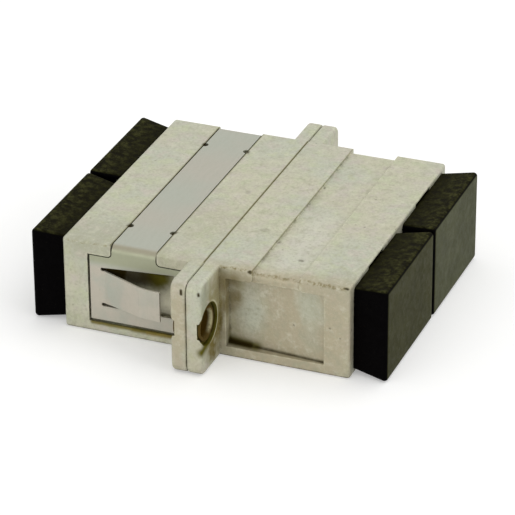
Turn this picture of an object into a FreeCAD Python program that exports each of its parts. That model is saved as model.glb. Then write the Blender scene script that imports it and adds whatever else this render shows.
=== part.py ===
"""Duplex SC fibre adapter with a metal body, a spring panel clip and four dust caps.

Frame, in millimetres: X runs along the two fibre channels, Y across the flange ears,
Z up. The origin is the centre of the underside, on the seam between the two castings.
"""
import FreeCAD, Part
import math
import os

import Sketcher

SIZES = (
    # Ports: the rectangular sockets that the plugs enter
    ("port_width", 9.2, "inside width of one port"),
    ("port_height", 7.5, "inside height of one port"),
    ("port_web", 3.5, "metal between the two ports"),
    ("key_slot_width", 3.9, "width of the keyway in the roof of a port"),
    ("key_slot_depth", 0.55, "height of the keyway above the port roof"),
    ("key_slot_length", 4.5, "length of the keyway from the mouth"),
    ("mouth_chamfer", 0.2, "lead-in around each port mouth"),
    ("seat_step", 0.55, "how far a holder seat is wider than the port on each side"),
    ("seat_depth", 1.5, "depth of a holder seat from the seam"),
    # Castings
    ("side_wall", 2.05, "metal outside each port"),
    ("floor_wall", 0.75, "metal above and below each port"),
    ("half_length", 13.6, "length of one casting from seam to end face"),
    ("corner_radius", 0.3, "round on the upright corners of the end face"),
    ("edge_radius", 0.25, "small round on the long outer edges"),
    ("ear_thickness", 1.45, "flange thickness of one casting"),
    ("ear_root", 0.7, "how far an ear reaches into the side wall"),
    ("ear_end", 1.8, "hole centre to ear end, less than the counterbore radius"),
    ("ear_radius", 0.9, "round on the ear corners"),
    ("ear_edge_radius", 0.3, "round on the outer rim of the ears"),
    ("ear_seam_radius", 0.25, "round on the rim of the ears along the seam"),
    ("seam_bevel", 0.07, "bevel on each body along the seam"),
    # Clip channel and side pockets in each casting
    ("channel_start", 4.5, "seam to near wall of the clip channel"),
    ("channel_width", 4.43, "width of the clip channel"),
    ("channel_corner", 0.6, "round on the casting under the clip bends"),
    ("pocket_post", 0.55, "post between flange face and side pocket"),
    ("end_frame", 2.4, "end face to side pocket"),
    ("bottom_rail", 1.0, "rail under a side pocket"),
    ("top_rail", 1.2, "rail above a side pocket"),
    ("rail_corner", 0.35, "round on the rail ends beside the channel"),
    ("pocket_deep", 1.0, "pocket depth at the flange end"),
    ("pocket_shallow", 0.38, "pocket depth at the outer end"),
    # Mounting holes and tubular rivets
    ("hole_offset", 2.55, "body side to hole centre"),
    ("rivet_bore", 2.5, "clear hole through a rivet"),
    ("rivet_wall", 0.22, "wall of the rivet tube"),
    ("rivet_clearance", 0.04, "radial gap around the rivet tube"),
    ("rivet_lip_reach", 0.22, "how far a rolled lip overhangs the tube"),
    ("rivet_lip_height", 0.24, "height of a rolled lip"),
    ("rivet_lip_flare", 0.16, "rounding of the bore into a rolled lip"),
    ("counterbore_depth", 0.4, "depth of the counterbore in each ear face"),
    ("counterbore_gap", 0.26, "radial gap around a rolled lip"),
    # Panel clip
    ("clip_sheet", 0.2, "spring sheet thickness"),
    ("clip_clearance", 0.02, "play between clip and casting under the sheet"),
    ("clip_edge_gap", 0.1, "gap along the edges of the top strip"),
    ("clip_plate_gap", 0.22, "gap at the ends of the side plates"),
    ("clip_foot_gap", 0.32, "gap between the side plates and the bottom rail"),
    ("clip_bend_radius", 0.7, "outside radius of the clip bends"),
    ("notch_radius", 0.35, "relief notch at the strip edges"),
    ("notch_spacing", 17.6, "distance between the notches along the strip"),
    ("tongue_root_margin", 1.44, "pocket end to tongue root"),
    ("tongue_root_low", 3.06, "lower edge of a tongue at its root"),
    ("tongue_root_width", 3.22, "width of a tongue at its root"),
    ("tongue_taper_low", 0.24, "rise of the lower edge towards the free end"),
    ("tongue_taper_high", 0.05, "fall of the upper edge towards the free end"),
    ("tongue_reach", 1.85, "how far a tongue stands out of the body side"),
    ("tongue_heel_length", 0.2, "flat stretch between the root of a tongue and its bend"),
    ("tongue_pad", 1.6, "free end to the middle of the bend of a tongue"),
    ("tongue_bend", 0.45, "reach of that bend to each side of its middle"),
    ("panel_gap", 2.05, "flange face to tongue end"),
    ("slit_low", 0.33, "slit under a tongue"),
    ("slit_high", 0.34, "slit above a tongue at its root"),
    ("slit_rise", 0.48, "extra opening of the upper slit at the free end"),
    ("slit_end_radius", 0.18, "round end of a slit"),
    ("plate_bridge", 0.65, "strip of plate past the free end of a tongue"),
    # Dust caps
    ("cap_length", 3.3, "length of a cap head"),
    ("cap_gap", 0.2, "gap between neighbouring caps"),
    ("cap_inset", 0.02, "how far a cap is lower than the body at its outer end"),
    ("cap_flare_side", 0.6, "how far a cap narrows towards the body on each side"),
    ("cap_flare_top", 0.45, "how far a cap lowers towards the body above and below"),
    ("cap_edge_radius", 0.35, "round on the outer edges of a cap"),
    ("plug_length", 5.0, "length of a cap's hollow plug"),
    ("plug_clearance", 0.08, "gap between plug and port"),
    ("plug_wall", 0.6, "wall of a cap's plug"),
    # Holders and sleeves
    ("ferrule_bore", 2.49, "inside diameter of an alignment sleeve"),
    ("sleeve_wall", 0.35, "wall of an alignment sleeve"),
    ("sleeve_length", 11.4, "length of an alignment sleeve"),
    ("sleeve_slit", 0.5, "width of the slit along a sleeve"),
    ("sleeve_clearance", 0.05, "radial gap around a sleeve"),
    ("sleeve_end_play", 0.1, "gap at each end of a sleeve"),
    ("holder_clearance", 0.05, "gap between a holder plate and its seat"),
    ("holder_tube_wall", 0.55, "wall of the holder tube"),
    ("holder_lip", 0.5, "thickness of the lip that keeps a sleeve in"),
    ("lip_relief", 0.13, "how far the lip bore is wider than a ferrule on each side"),
    ("hook_clearance", 0.15, "gap between a hook and the plug of a cap"),
    ("hook_thickness", 0.65, "thickness of a latch hook"),
    ("hook_width", 3.0, "width of a latch hook"),
    ("hook_setback", 4.8, "port mouth to hook tip"),
    ("barb_length", 1.4, "length of a hook's barb"),
    ("barb_height", 0.6, "height of a hook's barb"),
)

# Sizes that follow from those above, as cell formulas
DERIVED = (
    ("port_pitch", "port_width + port_web"),
    ("port_level", "port_height / 2 + floor_wall"),
    ("body_width", "2 * port_width + port_web + 2 * side_wall"),
    ("body_height", "port_height + 2 * floor_wall"),
    ("channel_depth", "clip_sheet + clip_clearance"),
    ("channel_end", "channel_start + channel_width"),
    ("pocket_start", "ear_thickness + pocket_post"),
    ("pocket_end", "half_length - end_frame"),
    ("pocket_roof", "body_height - top_rail"),
    ("hole_pitch", "body_width + 2 * hole_offset"),
    ("rivet_radius", "rivet_bore / 2 + rivet_wall"),
    ("rivet_lip_radius", "rivet_radius + rivet_lip_reach"),
    ("counterbore_radius", "rivet_lip_radius + counterbore_gap"),
    ("ear_span", "hole_pitch + 2 * ear_end"),
    ("lip_seat", "ear_thickness - counterbore_depth"),
    ("clip_half", "body_width / 2"),
    ("clip_top", "body_height - clip_clearance"),
    ("tongue_root", "pocket_end - tongue_root_margin"),
    ("tongue_end", "ear_thickness + panel_gap"),
    ("tongue_knee", "tongue_end + tongue_pad"),
    ("tongue_heel", "tongue_root - tongue_heel_length"),
    ("tongue_slope", "(tongue_heel - tongue_knee - tongue_bend) / (tongue_heel - tongue_knee)"),
    ("plate_start", "pocket_start + clip_plate_gap"),
    ("window_end", "plate_start + plate_bridge"),
    ("cap_width", "port_pitch - cap_gap"),
    ("cap_height", "body_height - 2 * cap_inset"),
    ("plug_width", "port_width - 2 * plug_clearance"),
    ("plug_height", "port_height - 2 * plug_clearance"),
    ("sleeve_radius", "ferrule_bore / 2 + sleeve_wall"),
    ("tube_bore", "sleeve_radius + sleeve_clearance"),
    ("tube_radius", "tube_bore + holder_tube_wall"),
    ("tube_floor", "sleeve_length / 2 + sleeve_end_play"),
    ("hook_outside", "plug_width / 2 - plug_wall - hook_clearance"),
    ("hook_tip", "half_length - hook_setback"),
)

TOLERANCE = 1e-4
LEFT, RIGHT = -1, 1
FRONT, REAR = -1, 1
SIDE_NAMES = {LEFT: "left", RIGHT: "right"}
ROW_NAMES = {FRONT: "front", REAR: "rear"}


def vector(x=0.0, y=0.0, z=0.0):
    return FreeCAD.Vector(x, y, z)


def make_sheet(doc):
    """Fill the spreadsheet that drives every size in the document."""
    sheet = doc.addObject("Spreadsheet::Sheet", "Sizes")
    row = 0
    for name, value, note in SIZES:
        row += 1
        sheet.set(f"A{row}", name)
        sheet.set(f"B{row}", str(value))
        sheet.set(f"C{row}", note)
        sheet.setAlias(f"B{row}", name)
    for name, formula in DERIVED:
        row += 1
        sheet.set(f"A{row}", name)
        sheet.setAlias(f"B{row}", name)
        sheet.set(f"B{row}", "=" + formula)
    doc.recompute()
    return sheet


def with_sheet(formula):
    """Turn a formula of size names into one that reads them from the sheet."""
    spaced = formula.replace("(", "( ").replace(")", " )")
    return " ".join("Sizes." + word if word[0].isalpha() else word for word in spaced.split())


def origin_plane(body, role):
    return next(plane for plane in body.Origin.OriginFeatures if plane.Role == role)


def make_sketch(body, name, role, offset="0"):
    """Make an empty sketch on an origin plane, moved along its normal."""
    sketch = body.newObject("Sketcher::SketchObject", name)
    sketch.AttachmentSupport = [(origin_plane(body, role), "")]
    sketch.MapMode = "FlatFace"
    sketch.setExpression("AttachmentOffset.Base.z", with_sheet(offset))
    return sketch


def fix_point(sketch, geometry, point, across, up):
    """Tie one point of a sketch to the sketch origin by two formulas."""
    for kind, formula in (("DistanceX", across), ("DistanceY", up)):
        index = sketch.addConstraint(Sketcher.Constraint(kind, -1, 1, geometry, point, 1.0))
        sketch.setExpression(f"Constraints[{index}]", with_sheet(formula))


def add_outline(sketch, corners):
    """Draw a closed outline of straight lines through corners given as formulas."""
    first = sketch.GeometryCount
    count = len(corners)
    ring = [vector(math.cos(2 * math.pi * i / count), math.sin(2 * math.pi * i / count))
            for i in range(count)]
    for i in range(count):
        sketch.addGeometry(Part.LineSegment(ring[i], ring[(i + 1) % count]), False)
    for i in range(count):
        following = first + (i + 1) % count
        sketch.addConstraint(Sketcher.Constraint("Coincident", first + i, 2, following, 1))
    for i, (across, up) in enumerate(corners):
        fix_point(sketch, first + i, 1, across, up)


def add_rectangle(sketch, left, right, low, high):
    add_outline(sketch, ((left, low), (right, low), (right, high), (left, high)))


def add_circle(sketch, across, up, radius):
    circle = sketch.addGeometry(Part.Circle(vector(), vector(0, 0, 1), 1.0), False)
    fix_point(sketch, circle, 3, across, up)
    index = sketch.addConstraint(Sketcher.Constraint("Radius", circle, 1.0))
    sketch.setExpression(f"Constraints[{index}]", with_sheet(radius))


def pad(body, name, sketch, length, backward=False):
    feature = body.newObject("PartDesign::Pad", name)
    feature.Profile = sketch
    feature.Reversed = backward
    feature.setExpression("Length", with_sheet(length))
    return feature


def pad_both_ways(body, name, sketch, length):
    feature = pad(body, name, sketch, length)
    feature.SideType = "Symmetric"
    return feature


def pocket(body, name, sketch, length, backward=False):
    """Cut a sketch into the solid and make sure that the cut removes material."""
    body.Document.recompute()
    before = body.Tip.Shape.Volume
    feature = body.newObject("PartDesign::Pocket", name)
    feature.Profile = sketch
    feature.Reversed = backward
    feature.setExpression("Length", with_sheet(length))
    body.Document.recompute()
    if feature.Shape.Volume > before - TOLERANCE:
        raise RuntimeError(name + " cuts nothing")
    return feature


def edges_along(shape, axis, **place):
    """Names of straight edges along an axis whose other coordinates lie as given.

    Each place is a coordinate and the values it may have, compared without sign.
    """
    direction = {"x": vector(1, 0, 0), "y": vector(0, 1, 0), "z": vector(0, 0, 1)}[axis]
    names = []
    for index, edge in enumerate(shape.Edges, 1):
        if not isinstance(edge.Curve, Part.Line) or len(edge.Vertexes) != 2:
            continue
        if abs(abs(edge.tangentAt(edge.FirstParameter).dot(direction)) - 1) > TOLERANCE:
            continue
        middle = (edge.Vertexes[0].Point + edge.Vertexes[1].Point) / 2
        if all(any(abs(abs(getattr(middle, key)) - value) < TOLERANCE for value in values)
               for key, values in place.items()):
            names.append(f"Edge{index}")
    return names


def round_edges(body, name, edges, radius):
    if not edges:
        raise RuntimeError(name + " finds no edges")
    base = body.Tip
    feature = body.newObject("PartDesign::Fillet", name)
    feature.Base = (base, edges)
    feature.setExpression("Radius", with_sheet(radius))
    body.Document.recompute()
    return feature


def bevel_edges(body, name, edges, size):
    if not edges:
        raise RuntimeError(name + " finds no edges")
    base = body.Tip
    feature = body.newObject("PartDesign::Chamfer", name)
    feature.Base = (base, edges)
    feature.setExpression("Size", with_sheet(size))
    body.Document.recompute()
    return feature


def place(body, side=RIGHT, x="0", y="0", z="0"):
    """Put a finished body in the adapter, turned half round for the left side."""
    turn = FreeCAD.Rotation(vector(0, 0, 1), 0 if side == RIGHT else 180)
    body.Placement = FreeCAD.Placement(vector(), turn)
    for axis, formula in (("x", x), ("y", y), ("z", z)):
        body.setExpression(f"Placement.Base.{axis}", with_sheet(formula))


def new_body(doc, name):
    body = doc.addObject("PartDesign::Body", name)
    body.Label = name
    return body


def add_port_outlines(sketch, half_width, low, high):
    """Draw one rectangle for each port, centred on its channel."""
    for row in (FRONT, REAR):
        middle = f"{row} * port_pitch / 2"
        add_rectangle(sketch, f"{middle} - ({half_width})", f"{middle} + {half_width}", low, high)


def cut_ports(body):
    """Cut the two channels and the holder seats at the seam."""
    roof = "floor_wall + port_height"
    ports = make_sketch(body, "PortOutlines", "YZ_Plane")
    add_port_outlines(ports, "port_width / 2", "floor_wall", roof)
    pocket(body, "Ports", ports, "half_length", backward=True)
    seats = make_sketch(body, "SeatOutlines", "YZ_Plane")
    add_port_outlines(seats, "port_width / 2 + seat_step", "floor_wall", roof)
    pocket(body, "HolderSeats", seats, "seat_depth", backward=True)


def cut_keyways(body):
    """Cut the keyways in the roofs of the port mouths."""
    keyways = make_sketch(body, "KeywayOutlines", "YZ_Plane", "half_length")
    add_port_outlines(keyways, "key_slot_width / 2", "port_level",
                      "floor_wall + port_height + key_slot_depth")
    pocket(body, "Keyways", keyways, "key_slot_length")


def cut_clip_channel(body):
    """Cut the shallow channel that the clip saddles, over the top and down both sides."""
    outline = make_sketch(body, "ChannelOutline", "YZ_Plane", "channel_start")
    wide = "body_width"
    high = "2 * body_height"
    side = "body_width / 2 - channel_depth"
    floor = "body_height - channel_depth"
    add_outline(outline, (
        (f"-1 * {wide}", "pocket_roof"), (f"-1 * ({side})", "pocket_roof"),
        (f"-1 * ({side})", floor), (side, floor),
        (side, "pocket_roof"), (wide, "pocket_roof"),
        (wide, high), (f"-1 * {wide}", high)))
    pocket(body, "ClipChannel", outline, "channel_width", backward=True)


def cut_side_pockets(body):
    """Cut the side pockets, whose floors rise from the flange to the outer end."""
    outline = make_sketch(body, "SidePocketOutlines", "XY_Plane", "bottom_rail")
    for row in (FRONT, REAR):
        deep = f"{row} * (body_width / 2 - pocket_deep)"
        shallow = f"{row} * (body_width / 2 - pocket_shallow)"
        outside = f"{row} * body_width"
        add_outline(outline, (("pocket_start", deep), ("pocket_end", shallow),
                              ("pocket_end", outside), ("pocket_start", outside)))
    pocket(body, "SidePockets", outline, "pocket_roof - bottom_rail", backward=True)


def cut_rivet_holes(body):
    """Cut the holes in the ears and the counterbores for the rolled rivet lips."""
    holes = make_sketch(body, "RivetHoleCircles", "YZ_Plane")
    lips = make_sketch(body, "CounterboreCircles", "YZ_Plane", "ear_thickness")
    for row in (FRONT, REAR):
        across = f"{row} * hole_pitch / 2"
        add_circle(holes, across, "body_height / 2", "rivet_radius + rivet_clearance")
        add_circle(lips, across, "body_height / 2", "counterbore_radius")
    pocket(body, "RivetHoles", holes, "ear_thickness", backward=True)
    pocket(body, "Counterbores", lips, "counterbore_depth")


def make_ear(doc, side, row):
    """One flange ear of a casting, with its rim rounded on both faces."""
    ear = new_body(doc, f"ear_{SIDE_NAMES[side]}_{ROW_NAMES[row]}")
    sheet = doc.Sizes
    outline = make_sketch(ear, "EarOutline", "YZ_Plane")
    add_rectangle(outline, f"{row} * (body_width / 2 - ear_root)", f"{row} * ear_span / 2",
                  "0", "body_height")
    pad(ear, "Ear", outline, "ear_thickness")
    doc.recompute()
    tip = (sheet.ear_span / 2,)
    corners = edges_along(ear.Tip.Shape, "x", y=tip, z=(0, sheet.body_height))
    round_edges(ear, "EarCorners", corners, "ear_radius")
    seam_rim = edges_along(ear.Tip.Shape, "z", x=(0,), y=tip)
    round_edges(ear, "SeamRim", seam_rim, "ear_seam_radius")
    outer_rim = edges_along(ear.Tip.Shape, "z", x=(sheet.ear_thickness,), y=tip)
    round_edges(ear, "OuterRim", outer_rim, "ear_edge_radius")
    return ear


def fuse_ears(body, side):
    """Join the two flange ears to their casting."""
    fused = body.newObject("PartDesign::Boolean", "Ears")
    fused.Type = "Fuse"
    fused.setObjects([make_ear(body.Document, side, row) for row in (FRONT, REAR)])
    body.Document.recompute()


def ease_casting(body, sheet):
    """Round the corners that a die casting has rounded."""
    half_width = sheet.body_width / 2
    top = sheet.body_height
    inner_side = half_width - sheet.channel_depth
    inner_top = top - sheet.channel_depth
    walls = (sheet.channel_start, sheet.channel_end)
    end_plane = (sheet.half_length,)
    corners = edges_along(body.Tip.Shape, "x", y=(inner_side,), z=(inner_top,))
    round_edges(body, "ChannelCorners", corners, "channel_corner")
    rails = edges_along(body.Tip.Shape, "y", x=walls, z=(sheet.pocket_roof,))
    round_edges(body, "RailCorners", rails, "rail_corner")
    seam = edges_along(body.Tip.Shape, "y", x=(0,), z=(0, top))
    bevel_edges(body, "SeamBevel", seam, "seam_bevel")
    uprights = edges_along(body.Tip.Shape, "z", x=end_plane, y=(half_width,))
    round_edges(body, "EndCorners", uprights, "corner_radius")
    outer = edges_along(body.Tip.Shape, "x", y=(half_width,), z=(0, top))
    outer += edges_along(body.Tip.Shape, "y", x=end_plane, z=(0, top))
    round_edges(body, "OuterEdges", outer, "edge_radius")
    port_sides = [sheet.port_pitch / 2 - sheet.port_width / 2,
                  sheet.port_pitch / 2 + sheet.port_width / 2]
    port_levels = (sheet.floor_wall, top - sheet.floor_wall)
    mouths = edges_along(body.Tip.Shape, "z", x=end_plane, y=port_sides)
    mouths += edges_along(body.Tip.Shape, "y", x=end_plane, z=port_levels)
    bevel_edges(body, "MouthBevels", mouths, "mouth_chamfer")


def make_casting(doc, side):
    """One of the two identical castings. Its own X runs from the seam to its end face."""
    body = new_body(doc, f"housing_{SIDE_NAMES[side]}")
    block = make_sketch(body, "BlockOutline", "YZ_Plane")
    add_rectangle(block, "body_width / -2", "body_width / 2", "0", "body_height")
    pad(body, "Block", block, "half_length")
    cut_ports(body)
    cut_clip_channel(body)
    cut_side_pockets(body)
    ease_casting(body, doc.Sizes)
    cut_keyways(body)
    fuse_ears(body, side)
    cut_rivet_holes(body)
    place(body, side)
    return body


def add_tongue(body):
    """Loft the tongue of the clip through its root, heel, the bend and its free end."""
    stations = (("Root", "tongue_root", "0"), ("Heel", "tongue_heel", "0"),
                ("BendStart", "tongue_knee + tongue_bend", "tongue_slope"),
                ("BendEnd", "tongue_knee - tongue_bend", "1"), ("Tip", "tongue_end", "1"))
    sections = []
    for name, along, share in stations:
        section = make_sketch(body, "Tongue" + name, "YZ_Plane", along)
        out = "tongue_reach * " + share
        add_rectangle(section, f"clip_half - clip_sheet + {out}", f"clip_half + {out}",
                      f"tongue_root_low + tongue_taper_low * {share}",
                      f"tongue_root_low + tongue_root_width - tongue_taper_high * {share}")
        sections.append(section)
    tongue = body.newObject("PartDesign::AdditiveLoft", "Tongue")
    tongue.Profile = sections[0]
    tongue.Sections = sections[1:]
    tongue.Ruled = True
    body.Document.recompute()
    return tongue


def make_clip(doc):
    """The spring clip, stamped and bent from one sheet, saddled over the left casting."""
    body = new_body(doc, "panel_clip")
    sheet = doc.Sizes
    inside = "clip_half - clip_sheet"
    underside = "clip_top - clip_sheet"
    plate_top = "pocket_roof - clip_edge_gap"
    leg_end = plate_top + " - clip_sheet"
    saddle = make_sketch(body, "SaddleOutline", "YZ_Plane", "channel_start + clip_edge_gap")
    add_outline(saddle, (
        ("-1 * clip_half", leg_end), (f"-1 * ({inside})", leg_end),
        (f"-1 * ({inside})", underside), (inside, underside),
        (inside, leg_end), ("clip_half", leg_end),
        ("clip_half", "clip_top"), ("-1 * clip_half", "clip_top")))
    pad(body, "Saddle", saddle, "channel_width - 2 * clip_edge_gap")
    doc.recompute()
    bends = edges_along(body.Tip.Shape, "x", y=(sheet.clip_half,), z=(sheet.clip_top,))
    round_edges(body, "BendsOutside", bends, "clip_bend_radius")
    inner_side = sheet.clip_half - sheet.clip_sheet
    inner_top = sheet.clip_top - sheet.clip_sheet
    bends = edges_along(body.Tip.Shape, "x", y=(inner_side,), z=(inner_top,))
    round_edges(body, "BendsInside", bends, "clip_bend_radius - clip_sheet")

    notches = make_sketch(body, "NotchCircles", "XY_Plane", "body_height")
    for along in ("channel_start + clip_edge_gap", "channel_end - clip_edge_gap"):
        for row in (FRONT, REAR):
            add_circle(notches, along, f"{row} * notch_spacing / 2", "notch_radius")
    pocket(body, "ReliefNotches", notches, "2 * clip_sheet")

    outline = make_sketch(body, "PlateOutline", "XZ_Plane", "clip_sheet - clip_half")
    add_rectangle(outline, "plate_start", "pocket_end - clip_plate_gap",
                  "bottom_rail + clip_foot_gap", plate_top)
    plate = pad(body, "SidePlate", outline, "clip_sheet", backward=True)
    window_low = "tongue_root_low - slit_low"
    window_high = "tongue_root_low + tongue_root_width + slit_high"
    opening = make_sketch(body, "WindowOutline", "XZ_Plane", "-1 * clip_half")
    add_outline(opening, (
        ("tongue_root", window_low), ("window_end", window_low),
        ("window_end", window_high + " + slit_rise"), ("tongue_root", window_high)))
    window = pocket(body, "TongueWindow", opening, "clip_sheet", backward=True)
    ends = make_sketch(body, "SlitEndCircles", "XZ_Plane", "-1 * clip_half")
    add_circle(ends, "tongue_root", window_low + " + slit_low / 2", "slit_end_radius")
    add_circle(ends, "tongue_root", window_high + " - slit_high / 2", "slit_end_radius")
    slit_ends = pocket(body, "SlitEnds", ends, "clip_sheet", backward=True)
    tongue = add_tongue(body)
    mirrored = body.newObject("PartDesign::Mirrored", "OtherSide")
    mirrored.Originals = [plate, window, slit_ends, tongue]
    mirrored.MirrorPlane = (origin_plane(body, "XZ_Plane"), [""])
    body.Tip = mirrored
    doc.recompute()
    strip_sides = (sheet.channel_start + sheet.clip_edge_gap,
                   sheet.channel_end - sheet.clip_edge_gap)
    inner_corners = edges_along(mirrored.Shape, "y", x=strip_sides,
                                z=(sheet.pocket_roof - sheet.clip_edge_gap,))
    round_edges(body, "PlateCorners", inner_corners, "rail_corner + clip_edge_gap")
    place(body, LEFT)
    return body


def make_rivet(doc, row):
    """A tubular rivet through both ears, with a rolled lip in each counterbore."""
    body = new_body(doc, f"flange_rivet_{ROW_NAMES[row]}")
    section = make_sketch(body, "RivetSection", "XZ_Plane")
    lip_top = "lip_seat + rivet_lip_height"
    half = (("rivet_bore / 2", lip_top + " - rivet_lip_flare"),
            ("rivet_bore / 2 + rivet_lip_flare", lip_top),
            ("rivet_lip_radius - rivet_lip_flare", lip_top),
            ("rivet_lip_radius", lip_top + " - rivet_lip_flare"),
            ("rivet_lip_radius", "lip_seat"),
            ("rivet_radius", "lip_seat"))
    right = [(along, radius) for radius, along in half]
    left = [(f"-1 * ({along})", radius) for radius, along in reversed(half)]
    add_outline(section, right + left)
    turned = body.newObject("PartDesign::Revolution", "RolledTube")
    turned.Profile = section
    turned.ReferenceAxis = (section, ["H_Axis"])
    turned.Angle = 360
    place(body, RIGHT, y=f"{row} * hole_pitch / 2", z="body_height / 2")
    return body


def add_cap_head(body):
    """Add the grip head, a wedge that widens evenly from the casting to its outer end."""
    head = body.newObject("PartDesign::AdditiveWedge", "Head")
    head.AttachmentSupport = [(origin_plane(body, "XY_Plane"), "")]
    head.MapMode = "FlatFace"
    head.AttachmentOffset = FreeCAD.Placement(vector(), FreeCAD.Rotation(vector(0, 0, 1), -90))
    neck_width = "(cap_width / 2 - cap_flare_side)"
    neck_height = "(cap_height / 2 - cap_flare_top)"
    limits = (("Ymin", "0"), ("Ymax", "cap_length"),
              ("Xmin", "-1 * " + neck_width), ("Xmax", neck_width),
              ("Zmin", "-1 * " + neck_height), ("Zmax", neck_height),
              ("X2min", "cap_width / -2"), ("X2max", "cap_width / 2"),
              ("Z2min", "cap_height / -2"), ("Z2max", "cap_height / 2"))
    for limit, formula in limits:
        head.setExpression(limit, with_sheet(formula))
    body.Document.recompute()
    free_edges = [f"Edge{index}" for index, edge in enumerate(head.Shape.Edges, 1)
                  if edge.BoundBox.XMax > TOLERANCE]
    round_edges(body, "HeadEdges", free_edges, "cap_edge_radius")


def make_cap(doc, side, row):
    """A dust cap: a flared grip head on a hollow plug that fills the port mouth."""
    body = new_body(doc, f"dust_cap_{SIDE_NAMES[side]}_{ROW_NAMES[row]}")
    add_cap_head(body)
    ring = make_sketch(body, "PlugOutline", "YZ_Plane")
    add_rectangle(ring, "plug_width / -2", "plug_width / 2", "plug_height / -2", "plug_height / 2")
    add_rectangle(ring, "plug_width / -2 + plug_wall", "plug_width / 2 - plug_wall",
                  "plug_height / -2 + plug_wall", "plug_height / 2 - plug_wall")
    pad(body, "Plug", ring, "plug_length", backward=True)
    place(body, side, f"{side} * half_length", f"{row} * port_pitch / 2", "port_level")
    return body


def make_holder(doc, side, row):
    """A moulded holder: seat plate, half of the sleeve tube and two latch hooks."""
    body = new_body(doc, f"latch_holder_{SIDE_NAMES[side]}_{ROW_NAMES[row]}")
    plate = make_sketch(body, "PlateOutline", "YZ_Plane")
    half_width = "(port_width / 2 + seat_step - holder_clearance)"
    half_height = "(port_height / 2 - holder_clearance)"
    add_rectangle(plate, "-1 * " + half_width, half_width, "-1 * " + half_height, half_height)
    pad(body, "SeatPlate", plate, "seat_depth - holder_clearance")
    tube = make_sketch(body, "TubeCircle", "YZ_Plane")
    add_circle(tube, "0", "0", "tube_radius")
    pad(body, "Tube", tube, "tube_floor + holder_lip")
    hooks = make_sketch(body, "HookOutlines", "XY_Plane")
    catch = "hook_tip - barb_length"
    inside = "hook_outside - hook_thickness"
    for hand in (FRONT, REAR):
        add_outline(hooks, (
            ("0", f"{hand} * hook_outside"), ("hook_tip", f"{hand} * hook_outside"),
            ("hook_tip", f"{hand} * ({inside})"),
            (catch, f"{hand} * ({inside} - barb_height)"),
            (catch, f"{hand} * ({inside})"), ("0", f"{hand} * ({inside})")))
    pad_both_ways(body, "Hooks", hooks, "hook_width")
    bore = make_sketch(body, "SleeveBore", "YZ_Plane")
    add_circle(bore, "0", "0", "tube_bore")
    pocket(body, "SleeveBoreCut", bore, "tube_floor", backward=True)
    mouth = make_sketch(body, "FerruleBore", "YZ_Plane")
    add_circle(mouth, "0", "0", "ferrule_bore / 2 + lip_relief")
    pocket(body, "FerruleBoreCut", mouth, "tube_floor + holder_lip", backward=True)
    place(body, side, y=f"{row} * port_pitch / 2", z="port_level")
    return body


def make_sleeve(doc, row):
    """The split zirconia sleeve that lines up two ferrules of one channel."""
    body = new_body(doc, f"alignment_sleeve_{ROW_NAMES[row]}")
    ring = make_sketch(body, "SleeveCircles", "YZ_Plane")
    add_circle(ring, "0", "0", "sleeve_radius")
    add_circle(ring, "0", "0", "ferrule_bore / 2")
    pad_both_ways(body, "Sleeve", ring, "sleeve_length")
    slit = make_sketch(body, "SlitOutline", "YZ_Plane", "sleeve_length / -2")
    add_rectangle(slit, "sleeve_slit / -2", "sleeve_slit / 2", "0", "2 * sleeve_radius")
    pocket(body, "Slit", slit, "sleeve_length", backward=True)
    place(body, RIGHT, y=f"{row} * port_pitch / 2", z="port_level")
    return body


def check(doc, bodies):
    """Stop before anything is written if an object failed or a solid is broken."""
    for item in doc.Objects:
        if "Invalid" in item.State or "Error" in item.State:
            raise RuntimeError(f"{item.Label} failed: {item.State}")
    for body in bodies:
        if body.Shape.isNull() or not body.Shape.isValid() or len(body.Shape.Solids) != 1:
            raise RuntimeError(body.Label + " is not one sound solid")


def build():
    doc = FreeCAD.newDocument("ScAdapter")
    make_sheet(doc)
    bodies = [make_casting(doc, side) for side in (LEFT, RIGHT)]
    bodies.append(make_clip(doc))
    for row in (FRONT, REAR):
        bodies.append(make_rivet(doc, row))
        bodies.append(make_sleeve(doc, row))
        for side in (LEFT, RIGHT):
            bodies.append(make_cap(doc, side, row))
            bodies.append(make_holder(doc, side, row))
    doc.recompute()
    check(doc, bodies)
    os.makedirs("parts", exist_ok=True)
    for body in bodies:
        body.Shape.exportStep(f"parts/{body.Label}.step")
    return bodies


def report(bodies):
    """Print the box and volume of each piece."""
    for body in bodies:
        box = body.Shape.BoundBox
        print(f"{body.Label:30s} X {box.XMin:7.2f} {box.XMax:7.2f}"
              f"  Y {box.YMin:7.2f} {box.YMax:7.2f}  Z {box.ZMin:6.2f} {box.ZMax:6.2f}"
              f"  volume {body.Shape.Volume:9.2f}")


report(build())
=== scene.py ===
"""Looks for the duplex SC fibre adapter: materials, small detail pieces, light and camera.

Everything is in metres in the CAD frame: X along the fibre channels, Y across the flange
ears, Z up from the underside. Material nodes work in millimetres of that same frame.
"""
import math

import bmesh
import bpy
from mathutils import Matrix, Vector


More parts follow.
